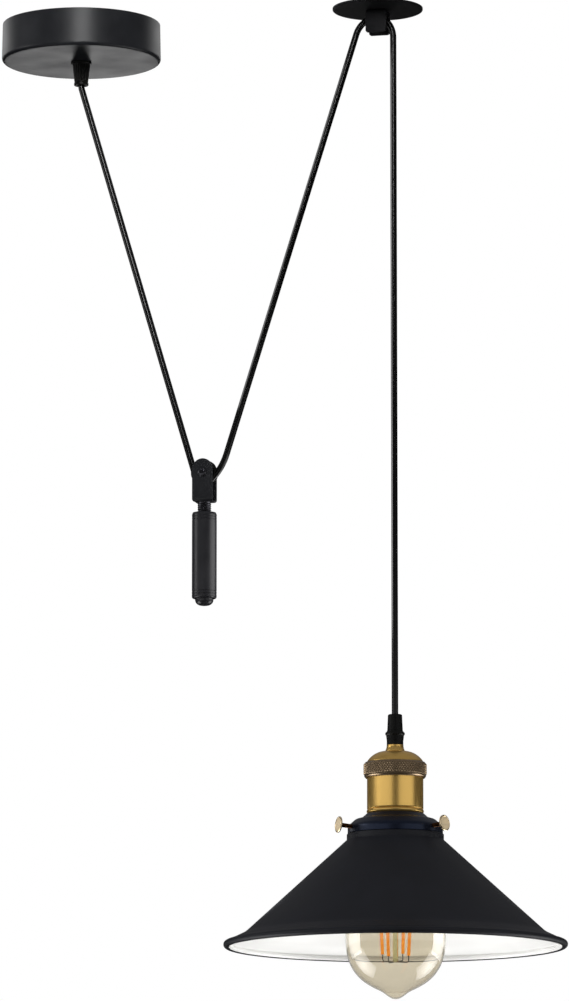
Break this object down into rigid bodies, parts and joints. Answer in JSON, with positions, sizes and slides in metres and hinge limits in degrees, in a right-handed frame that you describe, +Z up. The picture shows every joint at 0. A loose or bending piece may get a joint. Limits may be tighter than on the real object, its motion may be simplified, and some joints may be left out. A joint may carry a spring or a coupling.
{
  "type": "rise and fall pendant",
  "caption": "Rise and fall pendant lamp: ceiling rose, ceiling pulley and counterweight pulley on one cord, brass lampholder, cone shade and long clear bulb.",
  "frame": {"origin": "on the ceiling, at the axis of the rose, which is the centre of the ceiling bracket's two slots", "axes": "+X from the rose towards the ceiling pulley, +Z up, the cord lies in the plane Y = 0"},
  "size_m": [0.3738, 0.22, 0.6729],
  "materials": {
    "black_paint": "satin black powder coat",
    "shade_paint": "satin black outside and white inside",
    "gloss_black_paint": "gloss black enamel",
    "zinc_steel": "zinc plated",
    "black_steel": "blackened",
    "black_iron": "satin black coating",
    "black_nylon": "moulded satin",
    "black_cord": "smooth extruded sheath",
    "core_insulation": "smooth insulation",
    "white_porcelain": "glazed porcelain",
    "terminal_brass": "turned, bright",
    "lacquered_brass": "polished and lacquered",
    "bronzed_brass": "knurled, dark antique",
    "pale_brass": "turned, bright",
    "bulb_cap_metal": "pressed, satin",
    "bulb_glass": "clear, lightly amber",
    "stem_glass": "clear",
    "filament_coating": "phosphor coat",
    "frame_wire": "drawn wire"
  },
  "bodies": {
    "ceiling": {"canopy_cup": "black_paint", "ceiling_bracket": "zinc_steel", "canopy_grub_screws": "black_steel", "terminal_block": "white_porcelain", "terminal_screws": "terminal_brass", "earth_screw": "terminal_brass", "canopy_leads": "core_insulation", "canopy_cord_grip": "black_nylon", "canopy_grip_nut": "black_nylon", "pulley_plate": "black_paint", "ceiling_fork": "black_paint", "ceiling_stud": "zinc_steel", "ceiling_axle_pin": "black_steel", "cord_in_canopy": "black_cord", "cord_from_canopy": "black_cord", "cord_to_ceiling_pulley": "black_cord", "cord_over_ceiling_pulley": "black_cord", "cord_to_lamp": "black_cord"},
    "ceiling_pulley_wheel": {"ceiling_wheel": "black_nylon"},
    "counterweight": {"weight_fork": "black_paint", "weight_axle_screw": "black_steel", "weight_axle_nut": "black_steel", "weight_stud": "black_steel", "weight_cylinder": "black_iron", "weight_end_button": "black_iron", "cord_round_weight_pulley": "black_cord"},
    "counterweight_pulley_wheel": {"weight_wheel": "black_nylon"},
    "lamp": {"lamp_cord_tail": "black_cord", "lamp_grip_cap": "black_nylon", "lamp_grip_body": "black_nylon", "grip_lock_nut": "terminal_brass", "brass_collar": "lacquered_brass", "socket_cap": "lacquered_brass", "socket_shell": "lacquered_brass", "lampholder_core": "white_porcelain", "core_terminals": "terminal_brass", "holder_leads": "core_insulation", "screw_contact": "terminal_brass", "centre_contact": "terminal_brass", "shade_fitter": "gloss_black_paint", "fitter_ring": "black_nylon", "shade": "shade_paint"},
    "union_ring": {"knurled_ring": "bronzed_brass"},
    "thumb_front_left": {"thumb_screw_front_left": "pale_brass"},
    "thumb_front_right": {"thumb_screw_front_right": "pale_brass"},
    "thumb_back": {"thumb_screw_back": "pale_brass"},
    "bulb": {"bulb_base": "bulb_cap_metal", "bulb_glass": "bulb_glass", "bulb_stem": "stem_glass", "bulb_filaments": "filament_coating", "filament_frame": "frame_wire"}
  },
  "joints": [
    {"name": "lamp_drop", "type": "slide", "parent": "ceiling", "child": "lamp", "axis": [0, 0, 1], "range_m": [-0.25, 0.17], "deforming": ["cord_to_lamp"]},
    {"name": "counterweight_rise", "type": "slide", "parent": "ceiling", "child": "counterweight", "axis": [0, 0, 1], "range_m": [-0.0892, 0.131], "deforming": ["cord_from_canopy", "cord_to_ceiling_pulley"]},
    {"name": "ceiling_wheel_turn", "type": "hinge", "parent": "ceiling", "child": "ceiling_pulley_wheel", "pos_m": [0.201, 0, -0.0106], "axis": [0, -1, 0], "continuous": true},
    {"name": "weight_wheel_turn", "type": "hinge", "parent": "counterweight", "child": "counterweight_pulley_wheel", "pos_m": [0.0846, 0, -0.3035], "axis": [0, 1, 0], "continuous": true},
    {"name": "union_ring_turn", "type": "hinge", "parent": "lamp", "child": "union_ring", "pos_m": [0.21135, 0, -0.49618], "axis": [0, 0, -1], "range_deg": [0, 720]},
    {"name": "thumb_front_right_turn", "type": "hinge", "parent": "lamp", "child": "thumb_front_right", "pos_m": [0.23921, -0.0124, -0.53851], "axis": [0.9093, -0.4049, 0.0958], "range_deg": [0, 720]},
    {"name": "thumb_front_left_turn", "type": "hinge", "parent": "lamp", "child": "thumb_front_left", "pos_m": [0.18668, -0.01793, -0.53851], "axis": [-0.8053, -0.5851, 0.0958], "range_deg": [0, 720]},
    {"name": "thumb_back_turn", "type": "hinge", "parent": "lamp", "child": "thumb_back", "pos_m": [0.20816, 0.03033, -0.53851], "axis": [-0.104, 0.9899, 0.0958], "range_deg": [0, 720]},
    {"name": "bulb_turn", "type": "hinge", "parent": "lamp", "child": "bulb", "pos_m": [0.21135, 0, -0.50794], "axis": [0, 0, -1], "range_deg": [0, 720]}
  ],
  "couplings": [
    {"joint": "counterweight_rise", "follows": "lamp_drop", "ratio": -0.52324},
    {"joint": "ceiling_wheel_turn", "follows": "lamp_drop", "rad_per_m": 200},
    {"joint": "weight_wheel_turn", "follows": "lamp_drop", "rad_per_m": 80.86}
  ]
}
